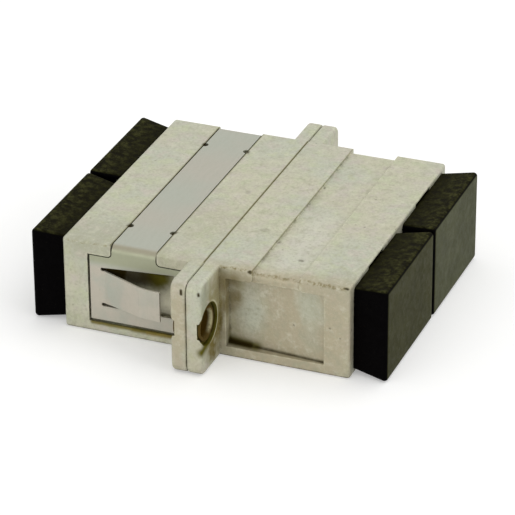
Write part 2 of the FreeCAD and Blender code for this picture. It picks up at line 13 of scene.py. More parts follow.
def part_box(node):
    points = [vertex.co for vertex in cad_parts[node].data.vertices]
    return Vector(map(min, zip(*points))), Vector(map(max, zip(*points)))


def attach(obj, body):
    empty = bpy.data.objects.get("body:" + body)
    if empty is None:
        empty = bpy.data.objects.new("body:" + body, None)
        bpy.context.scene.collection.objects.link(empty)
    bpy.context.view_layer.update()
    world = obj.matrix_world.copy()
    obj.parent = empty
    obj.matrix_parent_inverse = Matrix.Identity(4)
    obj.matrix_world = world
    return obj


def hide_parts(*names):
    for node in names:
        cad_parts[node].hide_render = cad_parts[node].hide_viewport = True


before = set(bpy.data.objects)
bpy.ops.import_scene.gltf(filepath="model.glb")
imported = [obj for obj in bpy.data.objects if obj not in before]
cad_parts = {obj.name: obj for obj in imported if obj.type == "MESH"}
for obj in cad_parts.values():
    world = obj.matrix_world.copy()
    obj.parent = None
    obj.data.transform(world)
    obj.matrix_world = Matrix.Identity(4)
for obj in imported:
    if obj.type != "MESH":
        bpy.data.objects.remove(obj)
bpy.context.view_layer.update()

MM = 0.001

# Camera, from the photograph's perspective
CAMERA_AZIMUTH = math.radians(21.65)
CAMERA_ELEVATION = math.radians(28.07)
CAMERA_ROLL = math.radians(-0.41)
CAMERA_DISTANCE = 290.0 * MM
CAMERA_LENS = 221.87
CAMERA_AIM = Vector((0.14, -0.61, 3.35)) * MM

# Room
FLOOR_SIZE = 6.0
FLOOR_COLOR = (0.80, 0.80, 0.79, 1.0)
FLOOR_WHITE = 0.30
FLOOR_DROP = 0.02 * MM  # keeps the floor off the underside, which would flicker through it
WORLD_LEVEL = 0.72
WHITE = (1.0, 1.0, 1.0, 1.0)
# Each lamp's name, place, width and height in metres, and power in watts
LAMPS = (
    ("key_softbox", (0.25, 0.30, 0.75), (0.7, 0.7), 1.6),
    ("side_softbox", (0.75, -0.10, 0.40), (0.6, 0.5), 1.2),
    ("front_softbox", (-0.35, -0.75, 0.12), (0.6, 0.4), 1.6),
)

# Colours, linear
ZINC_WARM = (0.528, 0.512, 0.385, 1.0)
ZINC_COOL = (0.490, 0.505, 0.405, 1.0)
ZINC_LILAC = (0.525, 0.482, 0.415, 1.0)
ZINC_STRAW = (0.500, 0.525, 0.355, 1.0)
ZINC_PALE = (0.640, 0.630, 0.500, 1.0)
ZINC_WORN = (0.680, 0.670, 0.480, 1.0)
# ZINC_DULL is also painted shade: TONES darkens the near half of the top with it, where the light
# falls off
ZINC_DULL = (0.370, 0.360, 0.255, 1.0)
ZINC_GREEN = (0.410, 0.435, 0.340, 1.0)
ZINC_TAN = (0.430, 0.372, 0.255, 1.0)
ZINC_KHAKI = (0.440, 0.400, 0.195, 1.0)
ZINC_MILKY = (0.600, 0.595, 0.510, 1.0)
# ZINC_MINT's first spot is painted light in the deep pocket by the flange
ZINC_MINT = (0.540, 0.565, 0.460, 1.0)
# Painted light: a near-white zinc colour for a shadowed patch
ZINC_PAINTED_LIGHT = (0.860, 0.825, 0.650, 1.0)
# A brown stain colour; its spots by the flange also carry painted shade
STAIN_AND_SHADE = (0.160, 0.122, 0.026, 1.0)
# OLIVE: painted shadow behind the clip's tongue and in the gap under the clip plate, the dark
# counterbore, and dark lines and joints
OLIVE = (0.108, 0.096, 0.010, 1.0)
SEEP = (0.300, 0.215, 0.050, 1.0)
# Painted shade in crevices and behind the clip's tongue, and dark marks, all in one dark brown
SHADE_AND_GRIME = (0.030, 0.020, 0.003, 1.0)
PIT = (0.050, 0.040, 0.014, 1.0)
SPRING = (0.440, 0.422, 0.352, 1.0)
SPRING_COOL = (0.415, 0.428, 0.358, 1.0)
# Painted shade for the clip's bends
SPRING_BEND = (0.330, 0.285, 0.215, 1.0)
SPRING_SHADE = (0.345, 0.355, 0.242, 1.0)
SPRING_ROSE = (0.485, 0.447, 0.370, 1.0)
# Bright worn plating on one side of a rivet's lip, as a painted highlight
NICKEL_HIGHLIGHT = (0.420, 0.385, 0.215, 1.0)
BRASS = (0.085, 0.056, 0.014, 1.0)
# Painted shade deep in a rivet's bore
BORE_SHADE = (0.058, 0.032, 0.003, 1.0)
PLASTIC = (0.0010, 0.0007, 0.0008, 1.0)
PLASTIC_TOP = (0.0055, 0.0048, 0.0006, 1.0)
PLASTIC_DUST = (0.056, 0.056, 0.019, 1.0)
# Painted reflection: the caps' end faces lighter, the far cap's more so, for the sheen at a
# grazing view
PLASTIC_END_SHEEN = (0.046, 0.046, 0.018, 1.0)
PLASTIC_FAR_END_SHEEN = (0.079, 0.083, 0.045, 1.0)
HOLDER = (0.60, 0.57, 0.48, 1.0)
ZIRCONIA = (0.80, 0.79, 0.74, 1.0)

# Places on the part in millimetres
HOLE_OUT, HOLE_UP = 15.55, 4.5  # a hole's axis: from the middle along Y, and above the underside
COUNTERBORE_RADIUS = 1.95
EAR_END = 17.35  # from the middle along Y
CAP_INNER, CAP_OUTER = 13.8, 16.4  # where a cap's dust starts and is full, along X
CLIP_BEND = (-8.9, -4.5, 12.72, 8.86)  # the bend's two ends along X, its Y and its Z

# Relief in metres: how far edges are rounded over, how far the painted crevice shade reaches, and
# how high each bump layer stands
ZINC_EDGE, ZINC_WEAR, ZINC_CREVICE = 0.09 * MM, 0.25 * MM, 0.55 * MM
ZINC_MOTTLE_HEIGHT, ZINC_GRAIN_HEIGHT, ZINC_PIT_DEPTH = 0.06 * MM, 0.022 * MM, 0.05 * MM
SPRING_EDGE, SPRING_CREVICE = 0.05 * MM, 0.35 * MM
SPRING_ROLLED_HEIGHT, SPRING_FINE_HEIGHT = 0.004 * MM, 0.005 * MM
RIVET_EDGE, RIVET_CREVICE = 0.03 * MM, 0.8 * MM
RIVET_WORN_HEIGHT, RIVET_GRAIN_HEIGHT = 0.06 * MM, 0.02 * MM
CAP_EDGE, CAP_RUGGED_HEIGHT, CAP_GRAIN_HEIGHT = 0.12 * MM, 0.07 * MM, 0.02 * MM
MOULDED_EDGE, MOULDED_HEIGHT = 0.06 * MM, 0.008 * MM

# Marks on the castings in millimetres. A spot is a centre, how far it reaches and its
# strength; a line is its two ends, its radius and its strength.
TONES = (
    # Painted shade: the near half of the top darker, where the light falls off towards the front
    (ZINC_DULL, (
        ((-9.0, -14.5, 9.0), (10.0, 9.0, 3.0), 0.55),
        ((-2.5, -6.0, 9.0), (4.0, 6.0, 1.5), 0.30),
        ((13.0, -14.0, 9.0), (4.5, 6.0, 3.0), 0.45))),
    (ZINC_MILKY, (
        ((7.0, -6.0, 8.8), (2.6, 9.0, 0.8), 0.60),
        ((-1.9, -13.0, 0.4), (2.4, 0.5, 0.8), 0.90))),
    (ZINC_TAN, (
        ((7.5, -13.0, 4.3), (13.0, 2.4, 11.0), 0.90),
        ((-0.8, -17.35, 4.5), (1.3, 0.8, 8.0), 0.80),
        ((0.9, -17.35, 2.5), (1.3, 0.8, 4.0), 0.40))),
    (ZINC_KHAKI, (
        ((1.45, -14.3, 5.0), (0.5, 2.7, 5.5), 0.75),)),
    (ZINC_MINT, (
        # Painted light: a lighter colour in the deep pocket by the flange, where little light
        # reaches
        ((4.2, -12.4, 4.4), (2.0, 1.4, 3.6), 0.80),
        ((9.8, -12.6, 6.2), (1.8, 1.3, 2.8), 0.40))),
    (ZINC_GREEN, (
        ((9.8, -12.6, 6.2), (1.8, 1.3, 2.8), 0.45),
        ((9.9, -12.6, 3.2), (1.5, 1.3, 2.2), 0.35),
        ((1.45, -16.6, 7.4), (0.6, 1.8, 1.6), 0.85))),
)
# Partly a brown stain, partly painted shade in the corner between the flange and the right-hand
# body, in the pocket and on the flange's face
STAIN_AND_SHADE_SPOTS = (
    ((2.2, -12.8, 7.4), (1.9, 1.8, 1.9), 0.74),
    ((2.25, -12.5, 5.3), (1.15, 1.6, 2.2), 0.74),
    ((3.6, -13.0, 7.7), (2.4, 0.9, 1.6), 0.22),
    ((1.5, -12.7, 5.6), (0.7, 0.9, 3.4), 0.80),
    ((1.45, -14.3, 3.2), (0.5, 3.4, 3.2), 0.95),
    ((1.45, -14.6, 1.6), (0.5, 2.2, 2.2), 0.95),
    ((1.45, -14.2, 6.6), (0.5, 2.2, 2.6), 0.38),
    ((1.6, -12.4, 2.4), (0.6, 1.0, 2.0), 0.50),
)
# Painted shadow on the pocket floor behind the free end of the clip's tongue
OLIVE_TONGUE_SHADOW = (
    ((-4.8, -12.1, 6.1), (2.15, 1.0, 1.6), 1.0),
)
# Dark lines: along the foot of the right-hand pocket (first two), painted shadow in the gap under
# the clip plate (third and fourth), a streak below the ear's hole, and the seams and joints along
# the top (the rest)
OLIVE_LINES = (
    ((2.0, -12.05, 1.2), (4.6, -12.25, 1.0), 0.90, 0.90),
    ((5.0, -12.25, 1.0), (11.2, -12.62, 0.95), 0.30, 0.35),
    ((-10.9, -12.95, 0.93), (-6.0, -12.95, 0.95), 0.34, 0.90),
    ((-7.0, -12.95, 0.95), (-1.5, -12.95, 0.97), 0.48, 0.95),
    ((1.45, -15.75, 2.80), (1.45, -17.15, 2.45), 0.72, 1.0),
    ((0.0, -17.35, 9.0), (0.0, 17.35, 9.0), 0.16, 0.90),
    ((0.0, -17.35, 0.0), (0.0, -17.35, 9.0), 0.14, 0.75),
    ((0.0, 17.35, 0.0), (0.0, 17.35, 9.0), 0.14, 0.75),
    ((-4.5, -13.0, 9.0), (-4.5, 13.0, 9.0), 0.15, 0.65),
    ((-8.93, -13.0, 9.0), (-8.93, 13.0, 9.0), 0.15, 0.65),
    ((4.58, -12.9, 8.98), (4.58, 12.9, 8.98), 0.20, 0.65),
)
# The first three spots are painted shadow on the pocket floor behind the clip's tongue; the last
# four are small dark spots on the top beside the clip strip
TONGUE_SHADOW_AND_DARK_SPOTS = (
    ((-8.8, -12.4, 6.1), (2.8, 1.1, 1.9), 1.0),
    ((-6.8, -12.3, 6.0), (2.6, 1.0, 1.6), 0.92),
    ((-4.5, -12.2, 7.05), (3.2, 1.0, 0.85), 0.92),
    ((-8.80, 8.80, 8.8), (0.50, 0.55, 0.5), 1.0),
    ((-4.60, 8.69, 8.8), (0.50, 0.55, 0.5), 1.0),
    ((-8.80, -8.76, 8.8), (0.50, 0.55, 0.5), 1.0),
    ((-4.60, -8.71, 8.8), (0.50, 0.55, 0.5), 1.0),
)
# Dark lines along the foot of the right-hand pocket, and two short ones on the ear's front by the
# seam
DARK_LINES = (
    ((2.0, -12.1, 1.10), (4.0, -12.2, 1.02), 0.56, 1.0),
    ((4.0, -12.2, 1.02), (11.2, -12.62, 0.96), 0.26, 0.60),
    ((-0.37, -17.35, 8.35), (-0.35, -17.35, 8.00), 0.22, 1.0),
    ((1.27, -17.35, 8.30), (1.29, -17.35, 8.14), 0.22, 1.0),
)
SPECKLE_LINES = (
    ((4.4, -13.0, 8.88), (13.2, -13.0, 8.9), 0.34, 0.72),
    ((4.66, -12.9, 8.95), (4.66, 12.7, 8.95), 0.17, 0.80),
    ((-13.4, -13.0, 8.85), (-9.3, -13.0, 8.85), 0.18, 0.5),
    ((1.6, -12.95, 8.9), (4.4, -12.95, 8.9), 0.22, 0.8),
    ((4.6, -12.72, 8.72), (9.0, -12.72, 8.72), 0.36, 0.85),
)
SEEP_LINES = (
    ((-5.6, -13.0, 0.84), (-1.6, -13.0, 0.88), 0.34, 0.60),
    ((-10.9, -13.0, 0.90), (-6.0, -13.0, 0.86), 0.26, 0.35),
)
# Painted light on the pocket wall beside the clip's tongue, which lies in the tongue's shadow
PAINTED_LIGHT_SPOTS = (
    ((-3.0, -12.3, 3.7), (2.2, 0.9, 2.5), 0.95),
)
PIT_SPOTS = (
    ((4.74, 4.65, 8.95), (0.24, 0.40, 0.3), 0.90),
    ((4.69, -6.86, 8.95), (0.22, 0.38, 0.3), 0.85),
    ((7.72, -9.23, 8.80), (0.36, 0.26, 0.3), 0.55),
    ((13.28, -13.0, 8.90), (0.48, 0.3, 0.20), 0.95),
    ((4.25, -13.0, 8.85), (0.28, 0.3, 0.24), 0.95),
    ((4.68, -13.0, 8.66), (0.22, 0.3, 0.30), 0.90),
    ((2.77, -5.38, 9.00), (0.60, 0.55, 0.3), 0.25),
    ((-1.34, 0.96, 9.00), (0.40, 0.55, 0.3), 0.22),
)

SPRING_SPOT = ((-6.7, -10.6, 9.0), (4.0, 3.6, 1.5), 0.7)
# Painted shade along the top of the clip's bends
SPRING_LINES = tuple(
    ((CLIP_BEND[0], side * CLIP_BEND[2], CLIP_BEND[3]),
     (CLIP_BEND[1], side * CLIP_BEND[2], CLIP_BEND[3]), 0.50, 0.60) for side in (-1, 1))

# Half of a rivet's outline in millimetres, from the middle of its bore round the rolled lip
# to the middle of its outside: distance along the axis, radius
RIVET_HALF = ((0.0, 1.25), (0.88, 1.25), (1.04, 1.265), (1.16, 1.31), (1.24, 1.38), (1.28, 1.46),
              (1.285, 1.53), (1.25, 1.61), (1.19, 1.665), (1.12, 1.685), (1.07, 1.67),
              (1.055, 1.62), (1.05, 1.52), (1.02, 1.47), (0.0, 1.47))
RIVET_STEPS = 96


class Graph:
    """A material's node tree, with short calls for the nodes that repeat."""

    def __init__(self, name):
        self.material = bpy.data.materials.new(name)
        self.material.use_nodes = True
        self.tree = self.material.node_tree
        self.tree.nodes.clear()
        self.output = self.node("ShaderNodeOutputMaterial")
        self.surface = self.node("ShaderNodeBsdfPrincipled")
        self.link(self.surface.outputs["BSDF"], self.output.inputs["Surface"])
        coordinates = self.node("ShaderNodeTexCoord").outputs["Object"]
        scaled = self.node("ShaderNodeVectorMath", operation="SCALE")
        self.link(coordinates, scaled.inputs[0])
        scaled.inputs["Scale"].default_value = 1 / MM
        self.place = scaled.outputs["Vector"]
        split = self.node("ShaderNodeSeparateXYZ")
        self.link(self.place, split.inputs[0])
        self.x, self.y, self.z = split.outputs

    def node(self, kind, **settings):
        made = self.tree.nodes.new(kind)
        for key, value in settings.items():
            setattr(made, key, value)
        return made

    def link(self, source, target):
        self.tree.links.new(source, target)

    def set(self, socket, value):
        """Give an input a number, a colour or another node's output."""
        if isinstance(value, bpy.types.NodeSocket):
            self.link(value, socket)
        else:
            socket.default_value = value

    def math(self, operation, *values, clamp=False):
        made = self.node("ShaderNodeMath", operation=operation, use_clamp=clamp)
        for socket, value in zip(made.inputs, values):
            self.set(socket, value)
        return made.outputs[0]

    def ramp(self, value, low, high, start=0.0, end=1.0):
        """Map low..high smoothly to start..end."""
        made = self.node("ShaderNodeMapRange", interpolation_type="SMOOTHSTEP")
        for name, item in (("Value", value), ("From Min", low), ("From Max", high),
                           ("To Min", start), ("To Max", end)):
            self.set(made.inputs[name], item)
        return made.outputs["Result"]

    def mix(self, factor, first, second):
        made = self.node("ShaderNodeMix", data_type="RGBA")
        self.set(made.inputs["Factor"], factor)
        self.set(made.inputs["A"], first)
        self.set(made.inputs["B"], second)
        return made.outputs["Result"]

    def stretch(self, along):
        """The place in millimetres, scaled along each axis."""
        made = self.node("ShaderNodeVectorMath", operation="MULTIPLY")
        self.link(self.place, made.inputs[0])
        made.inputs[1].default_value = along
        return made.outputs["Vector"]

    def noise(self, scale, detail=3.0, roughness=0.5, place=None):
        made = self.node("ShaderNodeTexNoise")
        self.set(made.inputs["Vector"], place or self.place)
        made.inputs["Scale"].default_value = scale
        made.inputs["Detail"].default_value = detail
        made.inputs["Roughness"].default_value = roughness
        return made.outputs["Fac"]

    def cells(self, scale):
        made = self.node("ShaderNodeTexVoronoi")
        self.link(self.place, made.inputs["Vector"])
        made.inputs["Scale"].default_value = scale
        chance = self.node("ShaderNodeSeparateColor")
        self.link(made.outputs["Color"], chance.inputs[0])
        return made.outputs["Distance"], chance.outputs[0]

    def crevice(self, reach):
        """1 in the open and 0 deep in a corner narrower than the reach, in metres."""
        made = self.node("ShaderNodeAmbientOcclusion", samples=12, only_local=False)
        made.inputs["Distance"].default_value = reach
        return made.outputs["AO"]

    def bumps(self, radius, *layers):
        """Stack bump layers, each a height and its distance in metres, on bevelled edges."""
        edges = self.node("ShaderNodeBevel", samples=6)
        edges.inputs["Radius"].default_value = radius
        normal = edges.outputs["Normal"]
        for height, distance in layers:
            made = self.node("ShaderNodeBump")
            made.inputs["Distance"].default_value = distance
            self.link(height, made.inputs["Height"])
            self.link(normal, made.inputs["Normal"])
            normal = made.outputs["Normal"]
        self.link(normal, self.surface.inputs["Normal"])

    def ragged(self, amount, scale):
        """The place in millimetres, pushed about so that marks get uneven edges."""
        made = self.node("ShaderNodeTexNoise")
        self.link(self.place, made.inputs["Vector"])
        made.inputs["Scale"].default_value = scale
        made.inputs["Detail"].default_value = 3.0
        centred = self.vector("SUBTRACT", made.outputs["Color"], (0.5, 0.5, 0.5))
        return self.vector("ADD", self.place, self.vector("MULTIPLY", centred, (amount,) * 3))

    def vector(self, operation, first, second):
        made = self.node("ShaderNodeVectorMath", operation=operation)
        self.set(made.inputs[0], first)
        self.set(made.inputs[1], second)
        return made.outputs["Value" if operation in ("DOT_PRODUCT", "DISTANCE") else "Vector"]

    def spot(self, place, centre, reach, strength):
        """The strength at a centre, falling to 0 at an ellipsoid round it."""
        shape = self.vector("DIVIDE", self.vector("SUBTRACT", place, centre), reach)
        away = self.vector("DISTANCE", shape, (0.0, 0.0, 0.0))
        return self.ramp(away, 1.0, 0.3, 0.0, strength)

    def streak(self, place, start, end, radius, strength):
        """The strength along a line, falling to 0 at the radius from it."""
        along = Vector(end) - Vector(start)
        from_start = self.vector("SUBTRACT", place, start)
        share = self.math("DIVIDE", self.vector("DOT_PRODUCT", from_start, tuple(along)),
                          along.length_squared, clamp=True)
        nearest = self.node("ShaderNodeVectorMath", operation="SCALE")
        nearest.inputs[0].default_value = along
        self.link(share, nearest.inputs["Scale"])
        away = self.vector("DISTANCE", from_start, nearest.outputs["Vector"])
        return self.ramp(away, radius, 0.1 * radius, 0.0, strength)

    def spots(self, place, marks):
        return self.strongest(*(self.spot(place, *mark) for mark in marks))

    def streaks(self, place, marks):
        return self.strongest(*(self.streak(place, *mark) for mark in marks))

    def from_hole(self):
        """The distance from the middle, and from the axis of the nearer ear's hole."""
        side = self.math("ABSOLUTE", self.y)
        offset = self.node("ShaderNodeCombineXYZ")
        self.set(offset.inputs[1], self.math("SUBTRACT", side, HOLE_OUT))
        self.set(offset.inputs[2], self.math("SUBTRACT", self.z, HOLE_UP))
        return side, self.vector("DISTANCE", offset.outputs[0], (0.0, 0.0, 0.0))

    def worn_edges(self, radius):
        """1 on edges sharper than the radius, in metres, and 0 on flat faces."""
        round_over = self.node("ShaderNodeBevel", samples=8)
        round_over.inputs["Radius"].default_value = radius
        flat = self.node("ShaderNodeNewGeometry").outputs["Normal"]
        alike = self.vector("DOT_PRODUCT", round_over.outputs["Normal"], flat)
        return self.ramp(alike, 0.995, 0.90)

    def strongest(self, *masks):
        most = masks[0]
        for mask in masks[1:]:
            most = self.math("MAXIMUM", most, mask)
        return most


def bare_zinc(g, mottle, grain, ragged):
    """The casting's colour, with its tones, specks and worn edges. Some tones are painted: shade
    on the near half of the top, and light in the deep pocket by the flange.
    """
    broad = g.noise(0.15, 2.0)
    hue = g.noise(0.7, 3.0, 0.6, g.stretch((1.0, 1.0, -1.0)))
    color = g.mix(g.ramp(broad, 0.35, 0.65), ZINC_WARM, ZINC_COOL)
    color = g.mix(g.ramp(hue, 0.50, 0.68, 0.0, 0.8), color, ZINC_LILAC)
    color = g.mix(g.ramp(hue, 0.50, 0.32, 0.0, 0.8), color, ZINC_STRAW)
    for tone, spots in TONES:
        color = g.mix(g.spots(ragged, spots), color, tone)
    color = g.mix(g.ramp(mottle, 0.48, 0.74, 0.0, 0.50), color, ZINC_PALE)
    color = g.mix(g.ramp(mottle, 0.50, 0.26, 0.0, 0.65), color, ZINC_DULL)
    color = g.mix(g.ramp(grain, 0.52, 0.30, 0.0, 0.60), color, ZINC_DULL)
    specks = g.math("MULTIPLY", g.ramp(grain, 0.52, 0.72, 0.0, 0.45),
                    g.ramp(g.z, 8.4, 8.9, 0.45, 1.0))
    color = g.mix(specks, color, ZINC_PALE)
    wear = g.math("MULTIPLY", g.worn_edges(ZINC_WEAR), g.ramp(mottle, 0.40, 0.65, 0.0, 0.55))
    return g.mix(wear, color, ZINC_WORN)


def hole_dirt_shade_and_glint(g, color):
    """Dark counterbore, partly soiling and partly painted shade, and a worn rim round it, lighter
    on its side nearer the middle as a painted highlight: the colour, and where the counterbore is
    darkened.
    """
    side, radius = g.from_hole()
    from_wall = g.math("SUBTRACT", radius, COUNTERBORE_RADIUS)
    in_ear = g.math("MULTIPLY", g.ramp(side, EAR_END - 0.01, EAR_END - 0.09),
                    g.ramp(g.math("ABSOLUTE", g.x), 0.4, 0.7))
    inside = g.math("MULTIPLY", in_ear, g.ramp(from_wall, 0.08, 0.03, 0.0, 0.95))
    # The counterbore darkened: partly soiling, partly painted shade in the recess
    color = g.mix(inside, color, OLIVE)
    # A worn rim round the counterbore, lighter only on its side nearer the middle: a painted
    # highlight on real wear
    rim = g.math("MULTIPLY", g.ramp(from_wall, 0.05, 0.10), g.ramp(from_wall, 0.30, 0.14))
    rim = g.math("MULTIPLY", rim, g.ramp(side, HOLE_OUT - 0.15, HOLE_OUT - 1.35, 0.0, 0.75))
    return g.mix(rim, color, ZINC_WORN), inside


def cast_zinc():
    g = Graph("cast_zinc")
    mottle = g.noise(1.1, 5.0, 0.62)
    grain = g.noise(3.8, 4.0, 0.72)
    near, far = g.ragged(0.5, 1.8), g.ragged(1.8, 0.6)
    color = bare_zinc(g, mottle, grain, far)
    distance, chance = g.cells(1.1)
    pits = g.math("MULTIPLY", g.ramp(distance, 0.17, 0.05), g.ramp(chance, 0.93, 0.94))
    color = g.mix(g.math("MULTIPLY", pits, 0.35), color, PIT)

    broken = g.ramp(g.noise(1.7, 5.0, 0.7), 0.25, 0.62, 0.70, 1.0)
    below_top = g.ramp(g.z, 8.95, 8.70)
    # Brown stain, with painted shade in the corner by the flange
    stains_and_shade = g.math("MULTIPLY", g.spots(far, STAIN_AND_SHADE_SPOTS), g.math("MULTIPLY", broken, below_top))
    color = g.mix(stains_and_shade, color, STAIN_AND_SHADE)
    # Painted shadow behind the clip's tongue and under the clip plate, with the other dark lines
    # and joints
    olive = g.strongest(g.spots(near, OLIVE_TONGUE_SHADOW), g.streaks(g.place, OLIVE_LINES))
    color = g.mix(olive, color, OLIVE)
    color, inside_hole = hole_dirt_shade_and_glint(g, color)

    # Painted shade: crevices, gaps and corners darkened by ambient occlusion, in a dark brown;
    # kept off the underside that sits on the floor
    open_air = g.crevice(ZINC_CREVICE)
    rough_edge = g.math("ADD", open_air, g.ramp(mottle, 0.3, 0.7, -0.10, 0.10))
    off_floor = g.ramp(g.z, 0.02, 0.10)
    crevice_shade = g.math("MULTIPLY", g.ramp(rough_edge, 0.64, 0.22, 0.0, 0.9), off_floor)
    color = g.mix(crevice_shade, color, SHADE_AND_GRIME)
    color = g.mix(g.math("MULTIPLY", g.streaks(near, SEEP_LINES), broken), color, SEEP)
    # Painted light: the shadowed patch beside the clip's tongue made pale
    color = g.mix(g.spots(near, PAINTED_LIGHT_SPOTS), color, ZINC_PAINTED_LIGHT)
    # Painted shadow behind the clip's tongue, with dark spots and lines elsewhere
    shadow_and_dark_marks = g.strongest(g.spots(near, TONGUE_SHADOW_AND_DARK_SPOTS), g.streaks(g.place, DARK_LINES))
    color = g.mix(shadow_and_dark_marks, color, SHADE_AND_GRIME)
    speckle = g.ramp(g.noise(2.8, 4.0, 0.7), 0.42, 0.60)
    color = g.mix(g.math("MULTIPLY", g.streaks(near, SPECKLE_LINES), speckle), color, STAIN_AND_SHADE)
    marks = g.spots(near, PIT_SPOTS)
    color = g.mix(marks, color, PIT)

    g.set(g.surface.inputs["Base Color"], color)
    # The darkened places, painted shade among them, are less metallic and less shiny
    darkened = g.strongest(shadow_and_dark_marks, olive, stains_and_shade, inside_hole)
    g.set(g.surface.inputs["Metallic"], g.ramp(darkened, 0.3, 1.0, 0.4, 0.0))
    g.set(g.surface.inputs["Roughness"], g.ramp(mottle, 0.3, 0.7, 0.50, 0.64))
    g.set(g.surface.inputs["Specular IOR Level"], g.ramp(darkened, 0.2, 0.9, 0.3, 0.03))
    g.bumps(ZINC_EDGE, (mottle, ZINC_MOTTLE_HEIGHT), (grain, ZINC_GRAIN_HEIGHT),
            (g.math("SUBTRACT", 1.0, g.math("MAXIMUM", pits, marks)), ZINC_PIT_DEPTH))
    return g.material


def spring_sheet():
    g = Graph("spring_sheet")
    broad = g.noise(0.13, 2.0)
    rolled = g.noise(1.0, 4.0, 0.55, g.stretch((3.0, 0.5, 3.0)))
    fine = g.noise(4.0, 4.0, 0.65)
    color = g.mix(g.ramp(broad, 0.35, 0.65), SPRING, SPRING_COOL)
    color = g.mix(g.ramp(rolled, 0.45, 0.75, 0.0, 0.15), color, SPRING_COOL)
    color = g.mix(g.spot(g.place, *SPRING_SPOT), color, SPRING_COOL)
    tint = g.ramp(g.noise(0.35, 3.0, 0.6), 0.36, 0.60)
    color = g.mix(g.math("MULTIPLY", g.ramp(g.z, 7.2, 6.4), tint), color, SPRING_ROSE)
    leg = g.math("MULTIPLY", g.ramp(g.z, 6.7, 7.4), g.ramp(g.z, 8.98, 8.86))
    color = g.mix(g.math("MULTIPLY", leg, 0.95), color, SPRING_SHADE)
    # Painted shade: a darker band along the top of each bend
    color = g.mix(g.streaks(g.place, SPRING_LINES), color, SPRING_BEND)
    color = g.mix(g.ramp(fine, 0.50, 0.25, 0.0, 0.30), color, SPRING_SHADE)
    # Painted shade: the sheet's crevices darkened by ambient occlusion
    sheet_crevice_shade = g.ramp(g.crevice(SPRING_CREVICE), 0.50, 0.15)
    color = g.mix(g.math("MULTIPLY", sheet_crevice_shade, 0.6), color, SHADE_AND_GRIME)
    g.set(g.surface.inputs["Base Color"], color)
    g.surface.inputs["Metallic"].default_value = 0.5
    g.set(g.surface.inputs["Roughness"], g.ramp(rolled, 0.3, 0.7, 0.46, 0.56))
    g.bumps(SPRING_EDGE, (rolled, SPRING_ROLLED_HEIGHT), (fine, SPRING_FINE_HEIGHT))
    return g.material


def rivet_metal():
    g = Graph("rivet_metal")
    worn = g.noise(2.2, 4.0, 0.6, g.ragged(0.3, 3.0))
    side, radius = g.from_hole()
    outer = g.ramp(g.math("ABSOLUTE", g.x), 0.70, 1.05)
    # Painted highlight: the inner lip is bright only on its side nearer the middle, over worn
    # plating
    inner = g.math("MULTIPLY", g.ramp(radius, 1.46, 1.32),
                   g.ramp(side, HOLE_OUT - 0.35, HOLE_OUT - 1.05))
    bright = g.math("MULTIPLY", g.math("MULTIPLY", inner, outer),
                    g.ramp(worn, 0.30, 0.55, 0.3, 1.0))
    color = g.mix(bright, BRASS, NICKEL_HIGHLIGHT)
    # Painted shade in the rivet's crevices, by ambient occlusion
    color = g.mix(g.ramp(g.crevice(RIVET_CREVICE), 0.75, 0.2, 0.0, 0.8), color, SHADE_AND_GRIME)
    # Painted shade: the middle of the bore is near black
    color = g.mix(outer, BORE_SHADE, color)
    g.set(g.surface.inputs["Base Color"], color)
    g.set(g.surface.inputs["Metallic"], g.math("MULTIPLY", bright, 0.5))
    g.set(g.surface.inputs["Roughness"], g.ramp(worn, 0.3, 0.7, 0.50, 0.65))
    g.set(g.surface.inputs["Specular IOR Level"], g.ramp(bright, 0.1, 0.9, 0.03, 0.4))
    g.bumps(RIVET_EDGE, (worn, RIVET_WORN_HEIGHT), (g.noise(5.0, 3.0), RIVET_GRAIN_HEIGHT))
    return g.material


def cap_plastic():
    g = Graph("cap_plastic")
    blotch = g.noise(1.5, 5.0, 0.72)
    grain = g.noise(5.0, 4.0, 0.75)
    normal = g.node("ShaderNodeNewGeometry").outputs["True Normal"]
    facing = g.node("ShaderNodeSeparateXYZ")
    g.link(normal, facing.inputs[0])
    end = g.ramp(g.math("ABSOLUTE", facing.outputs[0]), 0.85, 0.98)
    top = g.ramp(g.math("ABSOLUTE", facing.outputs[2]), 0.60, 0.95)
    dust = g.math("MULTIPLY", g.ramp(blotch, 0.38, 0.66), g.ramp(grain, 0.30, 0.66, 0.35, 1.0))
    outward = g.ramp(g.math("ABSOLUTE", g.x), CAP_INNER, CAP_OUTER, 0.35, 1.0)
    dust = g.math("MULTIPLY", dust, outward)
    color = g.mix(top, PLASTIC, g.mix(dust, PLASTIC_TOP, PLASTIC_DUST))
    cloud = g.noise(0.5, 3.0)
    shade = g.math("ADD", g.ramp(cloud, 0.3, 0.7, 0.80, 1.0), g.ramp(grain, 0.3, 0.7, -0.08, 0.08))
    # Painted reflection: the end faces are lighter, and the far cap's lighter still
    ends = g.mix(g.ramp(g.y, -1.5, 1.5), PLASTIC_END_SHEEN, PLASTIC_FAR_END_SHEEN)
    color = g.mix(g.math("MULTIPLY", end, shade), color, ends)
    g.set(g.surface.inputs["Base Color"], color)
    rough = g.ramp(blotch, 0.3, 0.7, 0.55, 0.75)
    g.set(g.surface.inputs["Roughness"],
          g.math("SUBTRACT", rough, g.math("MULTIPLY", end, 0.15)))
    g.surface.inputs["Specular IOR Level"].default_value = 0.02
    rugged = g.math("MULTIPLY", blotch, g.math("SUBTRACT", 1.0, g.math("MULTIPLY", end, 0.9)))
    g.bumps(CAP_EDGE, (rugged, CAP_RUGGED_HEIGHT), (grain, CAP_GRAIN_HEIGHT))
    return g.material


